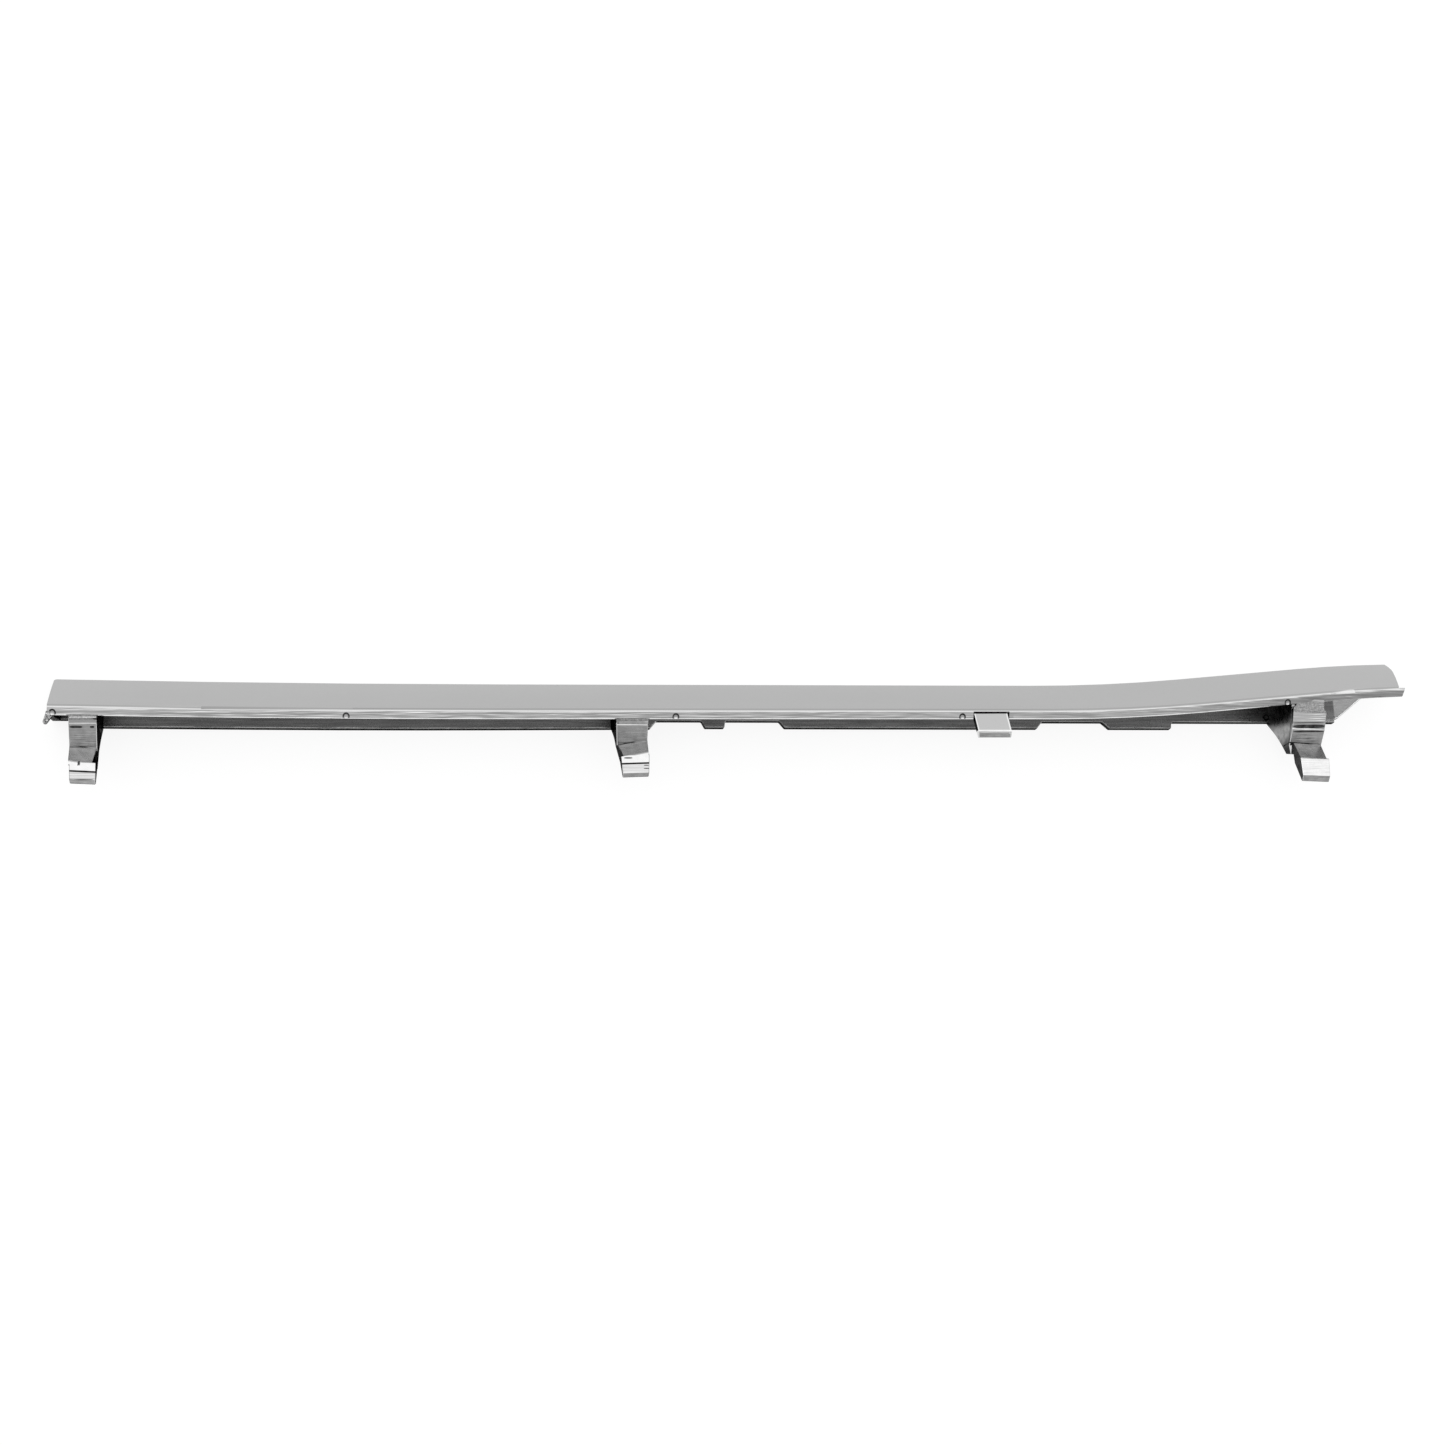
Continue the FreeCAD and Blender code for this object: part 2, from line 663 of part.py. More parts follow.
def head_plan(sizes):
    """Plan outline of a hook's head, with rounded free corners."""
    head_left, head_right = sizes["head"]
    tip_left, tip_right = sizes["tip"]
    shoulder_y = sizes["shoulder_y"]
    skew = sizes["shoulder_skew"] * (head_right - head_left) / 2
    end_y = sizes["tip_y"] - 2 * HEAD_CORNER
    front_y = shoulder_y + HEAD_CORNER / 2
    return [
        (head_left, front_y - skew, 0),
        (tip_left, end_y, 3 * HEAD_CORNER),
        (tip_right, end_y, 3 * HEAD_CORNER),
        (head_right, front_y + skew, 0),
    ]


def prism_along_y(corners, low, high):
    """Prism along Y on an (x, z, radius) outline."""
    return outline_face(corners, lambda x, z: Vector(x, low, z)).extrude(Vector(0, high - low, 0))


def cheek_corners(sizes):
    """(x, z) outlines of the two cheeks, which flare out towards the flange."""
    outlines = []
    for x, flare, inward in zip(sizes["bend"], sizes["flare"], (1, -1)):
        foot = x - inward * flare
        inner = inward * CHEEK_THICK
        outlines.append(
            [
                (x, FAR, 0),
                (x, CHEEK_FLARE_Z, CHEEK_BOW_RADIUS),
                (foot, 0, 0),
                (foot + inner, 0, 0),
                (x + inner, CHEEK_FLARE_Z, CHEEK_BOW_RADIUS),
                (x + inner, FAR, 0),
            ]
        )
    return outlines


def inner_across(points, height):
    """Where the show wall's inner face is at a height."""
    centre = points["centre"]
    return centre[0] + math.sqrt((SHOW_FACE_RADIUS - SHOW_WALL) ** 2 - (height - centre[1]) ** 2)


def tongue(points):
    """Level tongue with rounded corners and a bevelled nose, rooted in the show wall."""
    left = TONGUE_X - TONGUE_WIDTH / 2
    right = TONGUE_X + TONGUE_WIDTH / 2
    root_y = inner_across(points, TONGUE_ROOT_Z) + SHOW_WALL / 3
    side = [
        (root_y, TONGUE_ROOT_Z, 0),
        (TONGUE_TIP_Y + TONGUE_NOSE, TONGUE_TIP_Z, TONGUE_NOSE / 3),
        (TONGUE_TIP_Y, TONGUE_TIP_Z - TONGUE_NOSE, TONGUE_NOSE / 3),
        (TONGUE_TIP_Y + TONGUE_NOSE / 3, TONGUE_TIP_Z - TONGUE_THICK, TONGUE_NOSE / 3),
        (root_y + SHOW_WALL / 3, TONGUE_ROOT_Z - TONGUE_THICK, 0),
    ]
    body = side_prism(side, left - FAR, right + FAR, 0, TONGUE_X)
    end_y = TONGUE_TIP_Y - 1
    plan = [
        (left + TONGUE_ROOT_SHIFT, root_y + SHOW_WALL, 0),
        (left + TONGUE_ROOT_SHIFT, 0, 0),
        (left, end_y, TONGUE_CORNER_RADIUS + 1),
        (right, end_y, TONGUE_CORNER_RADIUS + 1),
        (right + TONGUE_ROOT_SHIFT, 0, 0),
        (right + TONGUE_ROOT_SHIFT, root_y + SHOW_WALL, 0),
    ]
    return body.common(prism(plan, 0, FAR))


def tongue_notch(points):
    """Notch in the lip that lets the tongue out."""
    reach = 2 * LIP_REACH
    left = TONGUE_X - TONGUE_WIDTH / 2 + TONGUE_ROOT_SHIFT - NOTCH_LEFT_GAP
    width = TONGUE_WIDTH + NOTCH_LEFT_GAP + NOTCH_RIGHT_GAP
    low = points["under_end"][1] - LIP_THICK
    return Part.makeBox(width, reach, 4 * LIP_THICK, Vector(left, NOTCH_Y - reach, low))


def end_wall(runs, points):
    """Wall across the channel at the left end, leaning back from the flange to the lip."""
    outer = LEFT_END_X
    base = ridge_y(runs, outer)
    side = [
        (base + points["inner_foot"][0] + SHOW_WALL / 2, 0, 0),
        (back_edge(outer), 0, 0),
        (END_WALL_TOP[0], END_WALL_TOP[1], 0),
        (base + points["under_end"][0] + LIP_THICK / 2, points["under_end"][1] + LIP_THICK / 2, 0),
        (base + points["inner_top"][0] + SHOW_WALL / 2, points["inner_top"][1], 0),
    ]
    return side_prism(side, outer, LEFT_TOP_X + END_WALL, 0, outer)


def toe(runs, points):
    """Small toe at the left end that carries the lip's slope on past its edge."""
    y = ridge_y(runs, LEFT_END_X) + points["lip_end"][0]
    z = points["lip_end"][1] - TOE_SINK
    fall = math.tan(math.radians(LIP_SLOPE))
    low_y = min(corner[1] for corner in TOE_PLAN) - 1
    high_y = y + LIP_REACH / 2
    side = [
        (high_y, z + (high_y - y) * fall, 0),
        (low_y, z + (low_y - y) * fall, 0),
        (low_y, z + (low_y - y) * fall - TOE_THICK, 0),
        (high_y, z + (high_y - y) * fall - TOE_THICK, 0),
    ]
    plan = [(corner[0], corner[1], LIP_EDGE_RADIUS if corner[1] < 0 else 0) for corner in TOE_PLAN]
    body = side_prism(side, LEFT_END_X - FAR, LEFT_END_X + FAR, 0, LEFT_END_X)
    return body.common(prism(plan, 0, FAR))


def nick():
    """Small slanted nick across the top of the left hook's head."""
    x, y = NICK_PLACE
    run_x, run_y = NICK_RUN
    corners = [
        (x + run_x + NICK_WIDTH / 2, y + run_y, 0),
        (x + run_x - NICK_WIDTH / 2, y + run_y, 0),
        (x - run_x - NICK_WIDTH / 2, y - run_y, 0),
        (x - run_x + NICK_WIDTH / 2, y - run_y, 0),
    ]
    return prism(corners, HEAD_TOP_Z - NICK_DEPTH, FAR)


def ejector_mark(runs, points, x):
    """Shallow dish, square to the lip's sloping top."""
    start = Vector(0, *points["lip_start"])
    end = Vector(0, *points["lip_end"])
    axis = Vector(0, math.sin(points["slope"]), math.cos(points["slope"]))
    radius = (MARK_RADIUS ** 2 + MARK_DEPTH ** 2) / (2 * MARK_DEPTH)
    place = start + (end - start) * MARK_SHARE + Vector(x, ridge_y(runs, x), 0)
    return Part.makeSphere(radius, place + axis * (radius - MARK_DEPTH))


def moulding():
    runs = ridge_runs()
    points = section()
    wall = show_wall(runs, points).cut(tongue_notch(points))
    pieces = [flange(runs, points), end_wall(runs, points), tongue(points)]
    for sizes in HOOKS:
        pieces += hook(runs, points, sizes)
    body = wall.fuse(pieces)
    body = body.cut([right_end_cutter()] + left_end_cutters(runs, points))
    body = body.fuse(toe(runs, points))
    body = body.cut([ejector_mark(runs, points, x) for x in MARK_XS] + [nick()])
    return body.removeSplitter()


def centred(body):
    """Body moved so that the middle of its box is over the origin and it stands on z = 0."""
    box = body.optimalBoundingBox()
    print("centre", box.Center)
    body.translate(Vector(-box.Center.x, -box.Center.y, -box.ZMin))
    return body


os.makedirs("parts", exist_ok=True)
trim = centred(moulding())
print("solids", len(trim.Solids), "valid", trim.isValid(), "volume", round(trim.Volume))
print("box", trim.optimalBoundingBox())
trim.Solids[0].exportStep("parts/trim_moulding.step")
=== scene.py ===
import math

import bpy
from mathutils import Matrix, Vector

# Chrome-plated trim moulding on a white floor, seen from above and in front.
# Metres; +X along the moulding, +Z up, hooks towards -Y. Places on the moulding are given in
# millimetres from the middle of its box, and turned into metres by MM.

for name in ("Camera", "Cube", "Light"):
    if name in bpy.data.objects:
        bpy.data.objects.remove(bpy.data.objects[name], do_unlink=True)

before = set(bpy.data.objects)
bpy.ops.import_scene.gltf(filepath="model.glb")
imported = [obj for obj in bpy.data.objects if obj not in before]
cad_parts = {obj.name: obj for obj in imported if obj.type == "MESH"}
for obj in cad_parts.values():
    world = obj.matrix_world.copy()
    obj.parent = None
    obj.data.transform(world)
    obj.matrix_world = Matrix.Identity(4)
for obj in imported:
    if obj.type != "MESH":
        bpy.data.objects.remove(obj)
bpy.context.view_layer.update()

scene = bpy.context.scene
trim = bpy.data.objects["trim_moulding"]

MM = 0.001
WHITE = (1.0, 1.0, 1.0, 1.0)

# Camera: above the moulding's left half and a little in front of it. Tilt is from straight down
# about X, and swing is about the picture's own upright.
CAMERA_LENS = 55.01
CAMERA_SENSOR = 36.0
CAMERA_PLACE = Vector((-0.1451, -0.2215, 0.8364))
CAMERA_TILT = 15.0
CAMERA_SWING = 8.72
CAMERA_NEAR = 0.01
CAMERA_FAR = 20.0

# What the plating mirrors, by the height of the direction: (height, radiance) on the side that
# the hooks point to and on the side that the show face looks at
FRONT_SKY = [
    (0.0, 0.62),
    (0.42, 0.62),
    (0.62, 0.66),
    (0.75, 0.80),
    (0.85, 0.88),
    (0.94, 1.2),
    (1.0, 1.9),
]
BACK_SKY = [
    (0.0, 1.10),
    (0.30, 1.12),
    (0.60, 1.16),
    (0.74, 1.24),
    (0.84, 2.0),
    (0.90, 2.3),
    (1.0, 2.2),
]
SKY_TOP = 2.5
SIDE_START = -0.20
SIDE_END = 0.10

FLOOR_HALF = 3.0
FLOOR_DROP = 0.4
FLOOR_GLOW = 0.84
FLOOR_COLOUR = (0.20, 0.20, 0.20, 1.0)
FLOOR_BOUNCE = (0.80, 0.80, 0.80, 1.0)

# Patterns in the plating: noise scale, detail and stretch along X
PATTERNS = {
    "fine": (420.0, 3.0, 1.0),
    "soft": (14.0, 2.0, 2.0),
    "streaks": (1400.0, 2.0, 22.0),
    "specks": (1500.0, 2.0, 1.0),
}
NOISE_LOW = 0.3
NOISE_HIGH = 0.7

# Each hook in plan, in mm: its middle, half its width, its bend, its groove if it has one, and
# how far these lines slant (change of y per unit of x)
HOOKS = [
    {"x": -255.1, "half": 5.6, "bend": -11.5, "groove": -22.3, "slant": 0.02, "head_slant": -0.05},
    {"x": -51.1, "half": 6.6, "bend": -10.0, "groove": -19.9, "slant": 0.2, "head_slant": 0.03},
    {"x": 223.3, "half": 7.6, "bend": -10.8, "groove": None, "slant": -0.07, "head_slant": -0.04},
]
HOOK_FADE = 0.2
GROOVE_HALF = 0.25
CREASE_HALF = 0.15
LINE_FADE = 0.15
HEAD_END_FADE = 0.3
CREASE_END = 0.4

# Painted shade: dark patches on and beside the hooks, in mm: (x, y, half width along x, half width
# along y), each fading out from the core to the edge share of its size, given below
SHADE_PATCHES = [
    (-257.6, -4.95, 2.4, 0.44),
    (-251.8, -4.95, 0.8, 0.4),
    (-53.0, -17.75, 1.7, 0.28),
    (-46.1, -20.6, 1.0, 0.2),
    (-46.0, -21.8, 1.2, 0.22),
    (-254.0, -25.3, 3.6, 0.16),
    (223.3, -4.75, 7.2, 0.75),
    (223.3, -6.6, 6.8, 0.35),
    (223.3, -3.4, 7.0, 0.18),
    (-255.8, -19.2, 0.5, 0.95),
    (-249.9, -2.3, 1.6, 0.35),
]
SHADE_PATCH_CORE = 0.5
SHADE_PATCH_EDGE = 1.2

# Ejector marks on the lip, in mm: (x, y), and the ring of painted shade round each
MARKS = [(-265.8, -0.4), (-159.1, -1.7), (-34.3, -1.9), (78.9, -1.9), (213.7, 4.1)]
RING_INNER = 0.9
RING_OUTER = 1.25
RING_FADE = 0.2

# How far the tongue's sides lean in plan, as x per unit of y
TONGUE_LEAN = 0.17

# Limits that several areas share. A limit is (what, where it starts, where it is full), or
# (what, low, high, fade past either). What is a place in mm (x, y, z, or tongue_x, which follows
# the tongue's lean) or a part of the facing (nx, ny, nz, and flat for nz without its sign).
UPWARD = ("nz", 0.8, 0.9)
BEFORE_LIP = ("y", -3.4, -3.8)
CLEAR_OF_LIP = ("y", -3.0, -4.0)
FACES_FRONT = ("ny", -0.1, -0.2)
AT_LEFT_HOOK = ("x", -200.0, -210.0)
PAST_LEFT_HALF = ("x", -100.0, -90.0)
AT_TONGUE = ("x", 83.5, 99.4, 0.1)
UNDER_LIP = [("z", 22.5, 21.5), ("y", -4.2, -3.4), ("ny", 0.35, 0.25)]
HOOK_RIM = [BEFORE_LIP, ("nz", 0.25, 0.4)]

# Areas of the plating, each where all its limits hold
AREAS = {
    "ridge": [("z", 25.35, 25.75), ("ny", -0.40, -0.28)],
    "lip": [("z", 24.9, 25.9, 0.1), ("ny", -0.28, -0.40)],
    "lip_edge": [("z", 24.0, 24.9, 0.1), ("ny", -0.5, -0.65)],
    "lip_end": [("x", 196.0, 212.0)],
    "notch": [("x", 83.5, 97.4, 0.1)],
    "root": [("z", 23.5, 24.9, 0.1), FACES_FRONT],
    "inside": [*UNDER_LIP, ("x", 243.8, 243.2)],
    "flange_end": [*UNDER_LIP, ("x", 243.2, 243.8), ("nz", 0.6, 0.8)],
    "flange_edge": [*UNDER_LIP, ("x", 243.8, 243.2), ("z", 2.6, 2.5), ("nz", 0.95, 0.85)],
    "far_left": [AT_LEFT_HOOK, ("nx", -0.3, -0.5)],
    "far_right": [PAST_LEFT_HALF, ("nx", 0.3, 0.5)],
    "web": [BEFORE_LIP, ("z", 24.0, 23.6), FACES_FRONT, ("nz", 0.3, 0.4)],
    "ramp": [("y", -8.5, -9.5), ("ny", 0.3, 0.45)],
    "ledge": [("y", -8.0, -3.2, 0.3), ("z", 19.0, 24.2, 0.2), UPWARD],
    "head": [("y", -14.8, -15.2), ("z", 22.6, 23.0), UPWARD],
    "tongue": [AT_TONGUE, ("y", 0.1, -0.1), ("z", 23.8, 24.1), UPWARD],
    "tongue_left": [("tongue_x", 84.5, 84.1)],
    "tongue_right": [("tongue_x", 96.5, 96.9)],
    "tongue_front": [("y", -6.8, -7.1)],
    "nose": [AT_TONGUE, ("y", -6.8, -7.2), ("nz", 0.985, 0.96)],
    "nose_top": [("z", 24.15, 24.3)],
    "nose_foot": [("z", 22.8, 22.6)],
    "left_hook_rim": [*HOOK_RIM, AT_LEFT_HOOK, ("nx", 0.3, 0.45)],
    "other_hook_rims": [*HOOK_RIM, PAST_LEFT_HALF, ("nx", -0.3, -0.45)],
    "steep": [("flat", 0.52, 0.38), ("ny", 0.45, 0.30), ("z", 24.8, 24.4)],
    "shelf": [("x", 200.0, 190.0), BEFORE_LIP, ("z", 10.0, 17.6, 0.4), UPWARD],
    "left_cheek": [AT_LEFT_HOOK, CLEAR_OF_LIP],
    "right_cheek": [("x", 210.0, 230.0, 2.0)],
    "lit_cheek": [("nx", -0.6, -0.8), ("x", 200.0, 210.0), ("y", 2.0, -4.0), ("y", -12.5, -6.0)],
    "matt": [CLEAR_OF_LIP],
    "upper": [("nz", 0.3, 0.5)],
    "toe": [("x", -266.4, -266.8), ("y", 0.3, 0.0)],
}

# Reflectance of the plating, with painted shade and painted highlights laid into it: (least, most)
# of the show face, by the soft pattern, and then the layers over it from first to last, as (mask,
# (least, most), pattern)
SHOW_GREY = (0.455, 0.475)
LAYERS = [
    # Painted shade on the ridge
    ("ridge", (0.33, 0.37), "soft"),
    ("lip", (0.34, 0.54), "streaks"),
    # Painted highlight along the lip's lower edge
    ("lip_edge", (0.75, 1.0), "streaks"),
    # Painted shade on the lip's right end, and under the lip on the hooks' roots
    ("right_lip", (0.24, 0.42), "streaks"),
    ("root", (0.22, 0.44), "specks"),
    # Painted shade in the channel and on the flange's edge; painted highlight on the flange's end
    ("inside", (0.26, 0.42), "streaks"),
    ("flange_end", (0.80, 0.95), "soft"),
    ("flange_edge", (0.10, 0.22), "specks"),
    # Painted shade on the hooks, face by face: web, ramp, ledge and head darker than the show face
    ("web", (0.36, 0.48), "fine"),
    ("ramp", (0.30, 0.42), "fine"),
    ("ledge", (0.29, 0.35), "fine"),
    ("head", (0.40, 0.44), "fine"),
    # Painted shade on the tongue's top; painted highlights on its rims, on the nose's rims and on
    # the hooks' rims
    ("tongue", (0.24, 0.26), "soft"),
    ("tongue_rims", (0.38, 0.42), "soft"),
    ("rims", (0.80, 0.95), "soft"),
    # Painted shade on the steep faces and shelves, darkest on the left cheek; painted light on
    # part of the right hook's left cheek
    ("painted_shade", (0.03, 0.08), "fine"),
    ("left_steep", (0.0, 0.03), "fine"),
    ("right_steep", (0.07, 0.13), "fine"),
    ("lit_cheek", (0.22, 0.42), "fine"),
    # Painted shade on the ends of the heads, in the grooves and creases, in dark patches and in
    # the rings round the ejector marks
    ("head_ends", (0.33, 0.40), "streaks"),
    ("grooves", (0.0, 0.06), "fine"),
    ("painted_shade_spots", (0.01, 0.10), "fine"),
    ("toe", (0.08, 0.70), "specks"),
]

# Gloss: the tint of the reflection at the rims of bright areas and of the painted shade, and
# roughness
BRIGHT_TINT = 0.8
DARK_TINT = 0.06
POLISH = (0.05, 0.11)
SATIN = 0.2
MATT = 0.5

# Ripple: its depth in mm, and its strength from the facings of the hooks' side to the others
RIPPLE_DEPTH = 0.12
RIPPLE_STRENGTH = (0.8, 0.02)
RIPPLE_FACING = (-0.25, 0.05)


class Graph:
    """A node tree, with short ways to add nodes to it."""

    def __init__(self, tree):
        self.tree = tree

    def node(self, kind, **settings):
        made = self.tree.nodes.new(kind)
        for key, value in settings.items():
            setattr(made, key, value)
        return made

    def link(self, source, target):
        self.tree.links.new(source, target)

    def maths(self, kind, a, b=None):
        made = self.node("ShaderNodeMath", operation=kind)
        for socket, value in zip(made.inputs, (a, b)):
            if isinstance(value, (int, float)):
                socket.default_value = value
            elif value is not None:
                self.link(value, socket)
        return made.outputs[0]

    def spread(self, value, low, high, from_low=0.0, from_high=1.0, smooth=False):
        """Value carried from one span to another, and held at its ends."""
        made = self.node("ShaderNodeMapRange")
        if smooth:
            made.interpolation_type = "SMOOTHSTEP"
        made.inputs["From Min"].default_value = from_low
        made.inputs["From Max"].default_value = from_high
        made.inputs["To Min"].default_value = low
        made.inputs["To Max"].default_value = high
        self.link(value, made.inputs["Value"])
        return made.outputs[0]

    def step(self, value, start, full):
        """0 before start and 1 past full, whichever of them is the smaller."""
        if start < full:
            return self.spread(value, 0.0, 1.0, start, full, smooth=True)
        return self.spread(value, 1.0, 0.0, full, start, smooth=True)

    def within(self, value, low, high, fade):
        """1 between low and high, falling to 0 over the fade on either side."""
        return self.all_of(self.step(value, low - fade, low), self.step(value, high + fade, high))

    def all_of(self, *masks):
        made = masks[0]
        for mask in masks[1:]:
            made = self.maths("MULTIPLY", made, mask)
        return made

    def any_of(self, *masks):
        made = masks[0]
        for mask in masks[1:]:
            made = self.maths("MAXIMUM", made, mask)
        return made

    def none_of(self, mask):
        return self.maths("SUBTRACT", 1.0, mask)

    def area(self, values, limits):
        """Mask of the place where all the limits hold."""
        masks = []
        for what, *numbers in limits:
            mask = self.within if len(numbers) == 3 else self.step
            masks.append(mask(values[what], *numbers))
        return self.all_of(*masks)

    def noise(self, coords, scale, detail, stretch):
        """Noise in object space, stretched along X."""
        mapping = self.node("ShaderNodeMapping")
        mapping.inputs["Scale"].default_value = (1.0 / stretch, 1.0, 1.0)
        self.link(coords, mapping.inputs["Vector"])
        made = self.node("ShaderNodeTexNoise")
        made.inputs["Scale"].default_value = scale
        made.inputs["Detail"].default_value = detail
        self.link(mapping.outputs[0], made.inputs["Vector"])
        return self.spread(made.outputs["Fac"], 0.0, 1.0, NOISE_LOW, NOISE_HIGH)

    def tinted(self, value, mask, greys, pattern):
        """Value where the mask is 0, and greys by the pattern where it is 1."""
        made = self.node("ShaderNodeMix", data_type="FLOAT")
        self.link(mask, made.inputs["Factor"])
        self.link(value, made.inputs["A"])
        self.link(self.spread(pattern, *greys), made.inputs["B"])
        return made.outputs["Result"]

    def sky(self, height, rows):
        """Radiance by height from (height, radiance) rows, scaled by 1 / SKY_TOP."""
        made = self.node("ShaderNodeValToRGB")
        elements = made.color_ramp.elements
        elements.remove(elements[-1])
        for index, (position, value) in enumerate(rows):
            element = elements[0] if index == 0 else elements.new(position)
            element.position = position
            grey = value / SKY_TOP
            element.color = (grey, grey, grey, 1.0)
        made.color_ramp.interpolation = "B_SPLINE"
        self.link(height, made.inputs[0])
        return made.outputs[0]

    def background(self, strength, colour=None):
        made = self.node("ShaderNodeBackground")
        made.inputs["Color"].default_value = WHITE
        made.inputs["Strength"].default_value = strength
        if colour is not None:
            self.link(colour, made.inputs["Color"])
        return made.outputs[0]

    def diffuse(self, colour):
        made = self.node("ShaderNodeBsdfDiffuse")
        made.inputs["Color"].default_value = colour
        return made.outputs[0]

    def shader_mix(self, factor, a, b):
        made = self.node("ShaderNodeMixShader")
        self.link(factor, made.inputs[0])
        self.link(a, made.inputs[1])
        self.link(b, made.inputs[2])
        return made.outputs[0]


def build_world():
    """White for the camera, plain light for matt surfaces, a shaded studio for the mirror."""
    world = bpy.data.worlds.new("studio")
    scene.world = world
    world.use_nodes = True
    graph = Graph(world.node_tree)
    graph.tree.nodes.clear()
    coords = graph.node("ShaderNodeTexCoord")
    parts = graph.node("ShaderNodeSeparateXYZ")
    graph.link(coords.outputs["Generated"], parts.inputs[0])
    blend = graph.node("ShaderNodeMix", data_type="RGBA")
    graph.link(graph.step(parts.outputs["Y"], SIDE_START, SIDE_END), blend.inputs["Factor"])
    graph.link(graph.sky(parts.outputs["Z"], FRONT_SKY), blend.inputs[6])
    graph.link(graph.sky(parts.outputs["Z"], BACK_SKY), blend.inputs[7])
    rays = graph.node("ShaderNodeLightPath").outputs
    studio = graph.background(SKY_TOP, blend.outputs[2])
    lit = graph.shader_mix(rays["Is Glossy Ray"], graph.background(1.0), studio)
    seen = graph.any_of(rays["Is Camera Ray"], rays["Is Transmission Ray"])
    out = graph.node("ShaderNodeOutputWorld")
    graph.link(graph.shader_mix(seen, lit, graph.background(1.0)), out.inputs["Surface"])


def build_floor():
    """White floor that shows a faint shadow, and returns plain light to matt surfaces."""
    mesh = bpy.data.meshes.new("floor")
    h = FLOOR_HALF
    z = -FLOOR_DROP * MM
    mesh.from_pydata([(-h, -h, z), (h, -h, z), (h, h, z), (-h, h, z)], [], [(0, 1, 2, 3)])
    floor = bpy.data.objects.new("floor", mesh)
    scene.collection.objects.link(floor)
    material = bpy.data.materials.new("white_floor")
    material.use_nodes = True
    graph = Graph(material.node_tree)
    graph.tree.nodes.clear()
    glow = graph.node("ShaderNodeEmission")
    glow.inputs["Color"].default_value = WHITE
    glow.inputs["Strength"].default_value = FLOOR_GLOW
    both = graph.node("ShaderNodeAddShader")
    graph.link(graph.diffuse(FLOOR_COLOUR), both.inputs[0])
    graph.link(glow.outputs[0], both.inputs[1])
    rays = graph.node("ShaderNodeLightPath").outputs
    seen = graph.any_of(rays["Is Camera Ray"], rays["Is Glossy Ray"], rays["Is Transmission Ray"])
    out = graph.node("ShaderNodeOutputMaterial")
    shown = graph.shader_mix(seen, graph.diffuse(FLOOR_BOUNCE), both.outputs[0])
    graph.link(shown, out.inputs["Surface"])
    mesh.materials.append(material)


def slanted(graph, x, y, middle, slant):
    """Y measured from a line that slants across a hook through its middle."""
    shift = graph.maths("MULTIPLY", graph.maths("SUBTRACT", x, middle), slant)
    return graph.maths("SUBTRACT", y, shift)


def line_mask(graph, across, middle, half):
    """Line of the given half width across a hook."""
    return graph.within(across, middle - half, middle + half, LINE_FADE)


def fleck(graph, x, y, place):
    """Soft oval patch, square at its ends along X."""
    middle_x, middle_y, half_x, half_y = place
    across = graph.maths("DIVIDE", graph.maths("SUBTRACT", x, middle_x), half_x)
    along = graph.maths("DIVIDE", graph.maths("SUBTRACT", y, middle_y), half_y)
    away = graph.maths("ADD", graph.maths("POWER", across, 4.0), graph.maths("POWER", along, 2.0))
    return graph.step(away, SHADE_PATCH_EDGE, SHADE_PATCH_CORE)


def mark_ring(graph, x, y, place):
    """Ring of painted shade round an ejector mark."""
    squares = [
        graph.maths("POWER", graph.maths("SUBTRACT", value, middle), 2.0)
        for value, middle in zip((x, y), place)
    ]
    away = graph.maths("SQRT", graph.maths("ADD", *squares))
    return graph.within(away, RING_INNER, RING_OUTER, RING_FADE)


def surface_values(graph, coords):
    """Place in mm and facing at each point of the surface, by name."""
    place = graph.node("ShaderNodeSeparateXYZ")
    graph.link(coords["Object"], place.inputs[0])
    facing = graph.node("ShaderNodeSeparateXYZ")
    graph.link(coords["Normal"], facing.inputs[0])
    values = {}
    for axis, along, part in zip("xyz", place.outputs, facing.outputs):
        values[axis] = graph.maths("DIVIDE", along, MM)
        values["n" + axis] = part
    values["flat"] = graph.maths("ABSOLUTE", values["nz"])
    lean = graph.maths("MULTIPLY", values["y"], TONGUE_LEAN)
    values["tongue_x"] = graph.maths("ADD", values["x"], lean)
    return values


def add_hook_masks(graph, values, masks):
    """Masks of painted shade that follow each hook's own sizes: root, ledge, end of the head,
    groove and crease.
    """
    x = values["x"]
    y = values["y"]
    spans = []
    grooved = []
    ends = []
    grooves = []
    creases = []
    for hook in HOOKS:
        middle = hook["x"]
        half = hook["half"]
        span = graph.within(x, middle - half, middle + half, HOOK_FADE)
        spans.append(span)
        across = slanted(graph, x, y, middle, hook["slant"])
        line = line_mask(graph, across, hook["bend"], CREASE_HALF)
        left_part = graph.step(x, middle + CREASE_END * half, middle)
        creases.append(graph.all_of(line, span, left_part))
        if hook["groove"]:
            grooved.append(span)
            across = slanted(graph, x, y, middle, hook["head_slant"])
            line = line_mask(graph, across, hook["groove"], GROOVE_HALF)
            grooves.append(graph.all_of(line, span))
            beyond = graph.step(across, hook["groove"], hook["groove"] - HEAD_END_FADE)
            ends.append(graph.all_of(beyond, span))
    masks["root"] = graph.all_of(masks["root"], graph.any_of(*spans))
    masks["ledge"] = graph.all_of(masks["ledge"], graph.any_of(*grooved))
    masks["head_ends"] = graph.all_of(masks["head"], graph.any_of(*ends))
    masks["grooves"] = graph.any_of(*grooves)
    masks["creases"] = graph.any_of(*creases)


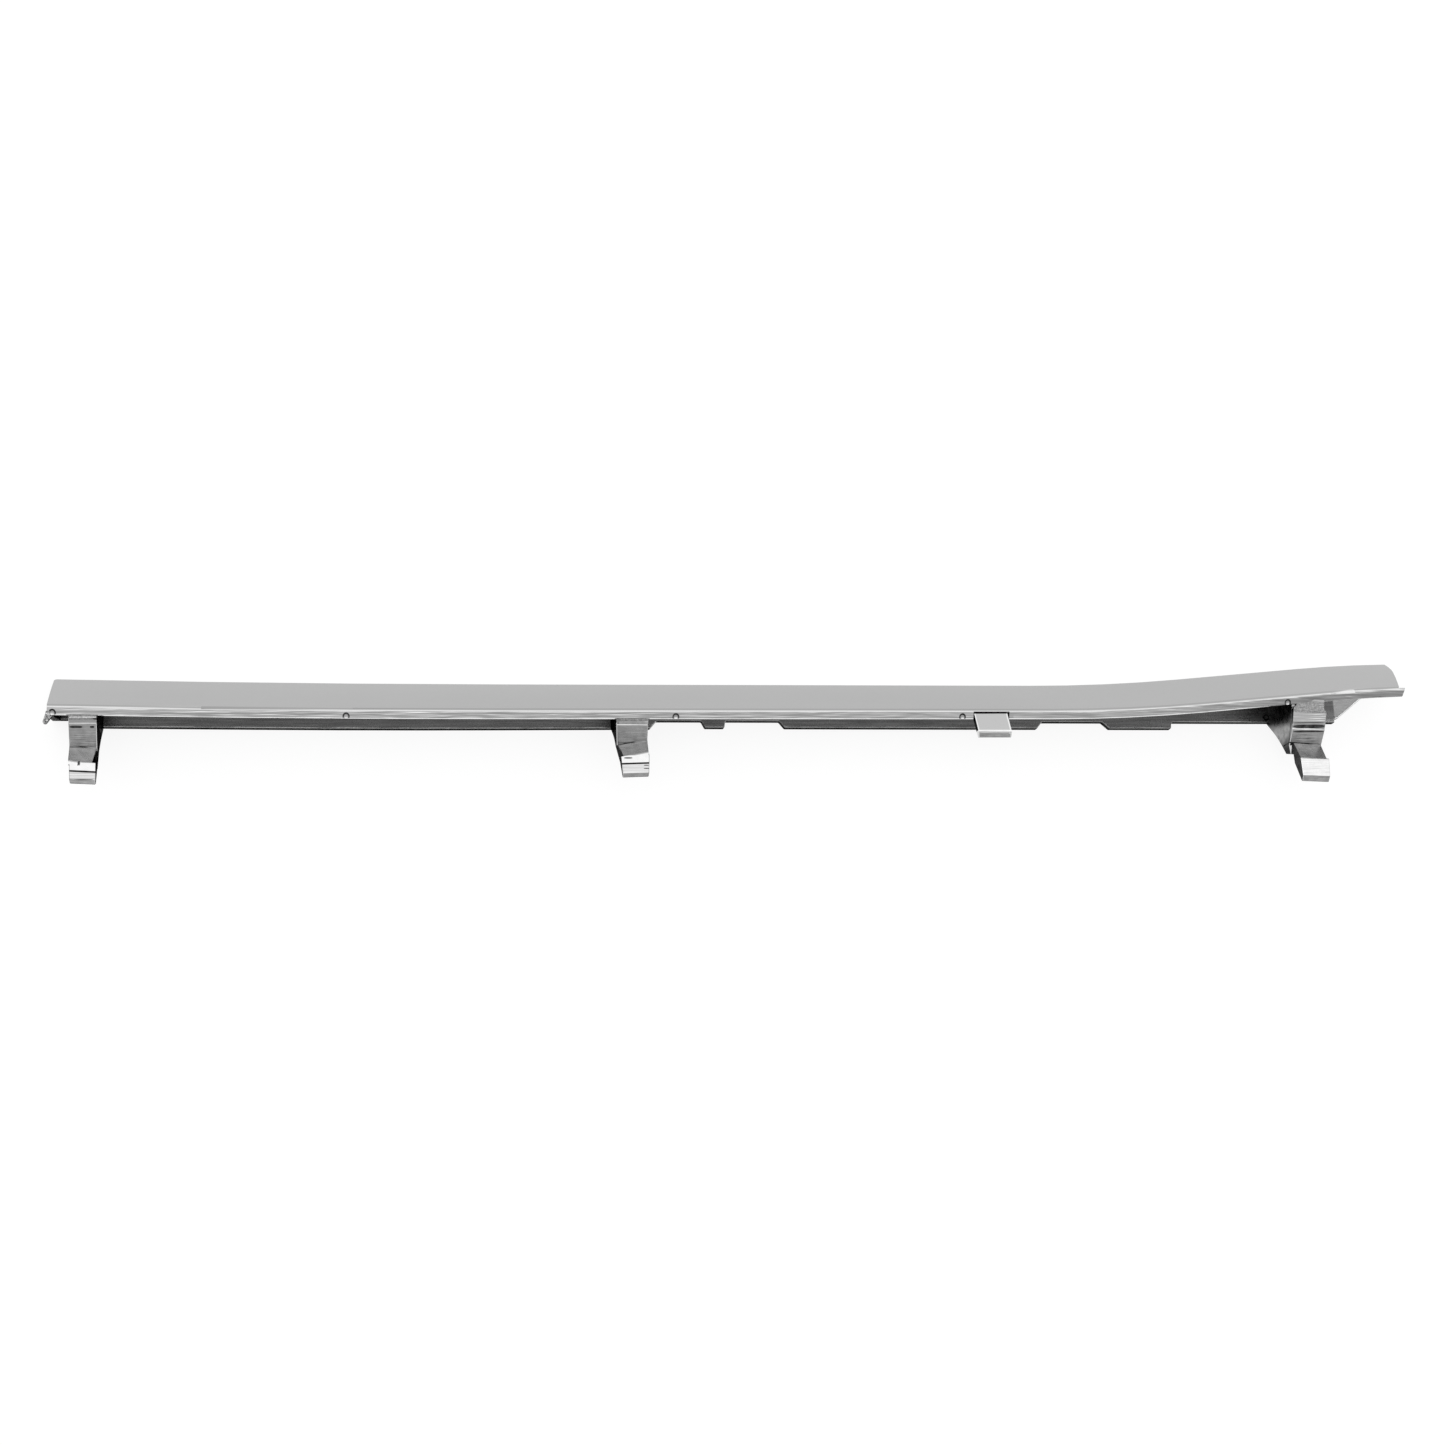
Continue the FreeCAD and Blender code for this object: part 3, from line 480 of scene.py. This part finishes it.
def plating_masks(graph, values):
    """Masks of all areas of the plating, by name, from 0 to 1."""
    masks = {name: graph.area(values, limits) for name, limits in AREAS.items()}
    add_hook_masks(graph, values, masks)

    # The lip, the painted highlight along its lower edge beside the notch, and the painted shade
    # at its right end
    masks["lip_edge"] = graph.all_of(masks["lip_edge"], graph.none_of(masks["notch"]))
    lips = graph.any_of(masks["lip"], masks["lip_edge"])
    masks["right_lip"] = graph.all_of(lips, masks["lip_end"])

    # The sides that look away from the moulding's left half are left out of the painted shade
    bright_sides = graph.any_of(masks["far_left"], masks["far_right"])
    masks["flange_edge"] = graph.all_of(masks["flange_edge"], graph.none_of(bright_sides))

    # Painted highlights on rims: round the tongue and its nose, and on the side of each hook that
    # has the light
    tongue_sides = graph.any_of(masks["tongue_left"], masks["tongue_right"])
    tongue_ends = graph.any_of(tongue_sides, masks["tongue_front"])
    masks["tongue_rims"] = graph.all_of(masks["tongue"], tongue_ends)
    nose_ends = graph.any_of(tongue_sides, masks["nose_top"], masks["nose_foot"])
    nose_rims = graph.all_of(masks["nose"], nose_ends)
    hook_rims = graph.any_of(masks["left_hook_rim"], masks["other_hook_rims"])
    hook_rims = graph.all_of(hook_rims, graph.none_of(masks["ramp"]))
    masks["rims"] = graph.any_of(hook_rims, nose_rims)

    # Painted shade on steep faces: the cheeks, the tongue's sides, the flange's edge; and on the
    # cheeks' shelves
    steep = graph.all_of(
        masks["steep"],
        graph.none_of(masks["lip_edge"]),
        graph.none_of(masks["rims"]),
        graph.none_of(bright_sides),
    )
    masks["painted_shade"] = graph.any_of(steep, masks["shelf"])
    masks["left_steep"] = graph.all_of(steep, masks["left_cheek"])
    masks["right_steep"] = graph.all_of(steep, masks["right_cheek"])

    # Painted shade: dark patches and the rings of the ejector marks, on upper faces, and the
    # creases
    x = values["x"]
    y = values["y"]
    spots = [fleck(graph, x, y, place) for place in SHADE_PATCHES]
    spots += [mark_ring(graph, x, y, place) for place in MARKS]
    spotted = graph.all_of(masks["upper"], graph.any_of(*spots))
    masks["painted_shade_spots"] = graph.any_of(spotted, masks["creases"])
    return masks


def build_chrome():
    """Bright plating: a mirror with a faint ripple, with painted shade and painted highlights in
    its colour.
    """
    material = bpy.data.materials.new("chrome_plating")
    material.use_nodes = True
    graph = Graph(material.node_tree)
    shader = graph.tree.nodes["Principled BSDF"]
    shader.inputs["Metallic"].default_value = 1.0
    coords = graph.node("ShaderNodeTexCoord").outputs
    values = surface_values(graph, coords)
    patterns = {name: graph.noise(coords["Object"], *row) for name, row in PATTERNS.items()}
    masks = plating_masks(graph, values)

    level = graph.spread(patterns["soft"], *SHOW_GREY)
    for name, greys, pattern in LAYERS:
        level = graph.tinted(level, masks[name], greys, patterns[pattern])
    graph.link(level, shader.inputs["Base Color"])

    # Painted shade: its reflection keeps a dark tint at the rims, except on the painted light of
    # the cheek
    painted_shade = graph.all_of(masks["painted_shade"], graph.none_of(masks["lit_cheek"]))
    graph.link(graph.spread(painted_shade, BRIGHT_TINT, DARK_TINT), shader.inputs["Specular Tint"])

    # Satin where the mould was not polished: the ramps and the channel, and more on the painted
    # shade
    satin = graph.any_of(masks["ramp"], masks["inside"], masks["lit_cheek"])
    matt = graph.all_of(painted_shade, masks["matt"])
    rough = graph.spread(patterns["fine"], *POLISH)
    for mask, added in ((satin, SATIN), (matt, MATT)):
        rough = graph.maths("ADD", rough, graph.maths("MULTIPLY", mask, added))
    graph.link(rough, shader.inputs["Roughness"])

    # Streaks on everything that faces the hooks' side, a faint ripple on the rest
    ripple = graph.node("ShaderNodeBump")
    ripple.inputs["Distance"].default_value = RIPPLE_DEPTH * MM
    strength = graph.spread(values["ny"], *RIPPLE_STRENGTH, *RIPPLE_FACING)
    graph.link(strength, ripple.inputs["Strength"])
    graph.link(patterns["streaks"], ripple.inputs["Height"])
    graph.link(ripple.outputs[0], shader.inputs["Normal"])
    return material


def build_camera():
    """Camera at the picture's own place and angle."""
    data = bpy.data.cameras.new("photo_camera")
    data.lens = CAMERA_LENS
    data.sensor_width = CAMERA_SENSOR
    data.clip_start = CAMERA_NEAR
    data.clip_end = CAMERA_FAR
    camera = bpy.data.objects.new("photo_camera", data)
    scene.collection.objects.link(camera)
    tilt = Matrix.Rotation(math.radians(CAMERA_TILT), 4, "X")
    swing = Matrix.Rotation(-math.radians(CAMERA_SWING), 4, "Y")
    camera.matrix_world = Matrix.Translation(CAMERA_PLACE) @ tilt @ swing
    scene.camera = camera


build_world()
build_floor()
build_camera()
trim.data.materials.clear()
trim.data.materials.append(build_chrome())

scene.view_settings.view_transform = "Standard"
